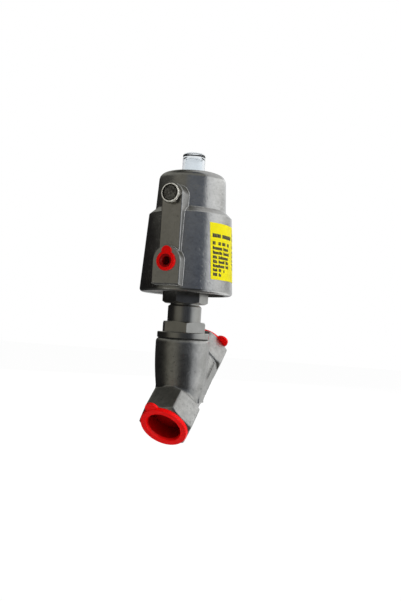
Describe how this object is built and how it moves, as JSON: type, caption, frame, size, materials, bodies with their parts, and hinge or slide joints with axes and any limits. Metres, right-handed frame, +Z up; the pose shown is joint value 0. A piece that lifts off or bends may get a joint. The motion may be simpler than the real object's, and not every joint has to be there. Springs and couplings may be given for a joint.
{
  "type": "pneumatic angle seat valve",
  "caption": "Angle seat valve with a single-acting pneumatic piston actuator, transit plugs, exhaust silencer and a clear sight dome over the position indicator.",
  "frame": {"origin": "middle of the inlet port's mouth, on the pipe's axis", "axes": "+Z up the stem's axis towards the sight dome; the pipe's axis lies in the XZ plane, 50 degrees from the stem, with the inlet opening towards -X and down and the outlet towards +X and up; the air port opens towards -X"},
  "size_m": [0.1094, 0.079, 0.2464],
  "materials": {
    "body_casting": "precision-cast stainless steel, satin, finely pitted",
    "housing_casting": "precision-cast stainless steel, satin, blasted",
    "turned_steel": "turned and milled stainless steel, satin",
    "spring_steel": "drawn stainless spring wire and pressed rings",
    "gasket_fibre": "pressed dark gasket sheet",
    "ptfe": "white fluoroplastic",
    "filled_ptfe": "carbon-filled fluoroplastic bearing",
    "bronze": "turned bronze bush",
    "seal_rubber": "black nitrile rubber",
    "cast_aluminium": "turned aluminium",
    "nickel_brass": "nickel-plated brass",
    "sintered_bronze": "sintered bronze, open grained",
    "red_plastic": "moulded red polyethylene",
    "label_film": "yellow printed film with plain dark bars",
    "clear_plastic": "clear moulded plastic",
    "indicator_plastic": "dark moulded plastic"
  },
  "bodies": {
    "root": {"valve_body": "body_casting", "inlet_plug": "red_plastic", "outlet_plug": "red_plastic", "body_gasket": "gasket_fibre", "bonnet": "turned_steel", "stem_wiper": "ptfe", "guide_bush": "filled_ptfe", "packing_support_ring": "ptfe", "packing_ring_1": "ptfe", "packing_ring_2": "ptfe", "packing_ring_3": "ptfe", "packing_ring_4": "ptfe", "packing_header_ring": "ptfe", "packing_washer": "turned_steel", "packing_spring": "spring_steel", "gland_bush": "bronze", "stem_o_ring": "seal_rubber", "gland_circlip": "spring_steel", "lock_nut": "turned_steel", "base_circlip": "spring_steel"},
    "actuator": {"actuator_base": "cast_aluminium", "base_o_ring": "seal_rubber", "spigot_o_ring": "seal_rubber", "base_retaining_ring": "spring_steel", "actuator_housing": "housing_casting", "silencer_body": "nickel_brass", "silencer_element": "sintered_bronze", "air_port_plug": "red_plastic", "sight_dome": "clear_plastic", "dome_o_ring": "seal_rubber", "label": "label_film", "outer_spring": "spring_steel", "inner_spring": "spring_steel"},
    "stem_group": {"stem": "turned_steel", "disc_holder": "turned_steel", "disc_seal": "ptfe", "disc_washer": "turned_steel", "disc_nut": "turned_steel", "piston": "cast_aluminium", "piston_seal": "seal_rubber", "piston_guide_band": "filled_ptfe", "piston_o_ring": "seal_rubber", "piston_washer": "turned_steel", "piston_nut": "turned_steel", "position_indicator": "indicator_plastic"}
  },
  "joints": [
    {"name": "stem_slide", "type": "slide", "parent": "root", "child": "stem_group", "axis": [0, 0, 1], "range_m": [0, 0.013], "deforming": ["outer_spring", "inner_spring"]},
    {"name": "actuator_swivel", "type": "hinge", "parent": "root", "child": "actuator", "pos_m": [0.02712, 0, 0], "axis": [0, 0, 1], "continuous": true}
  ]
}
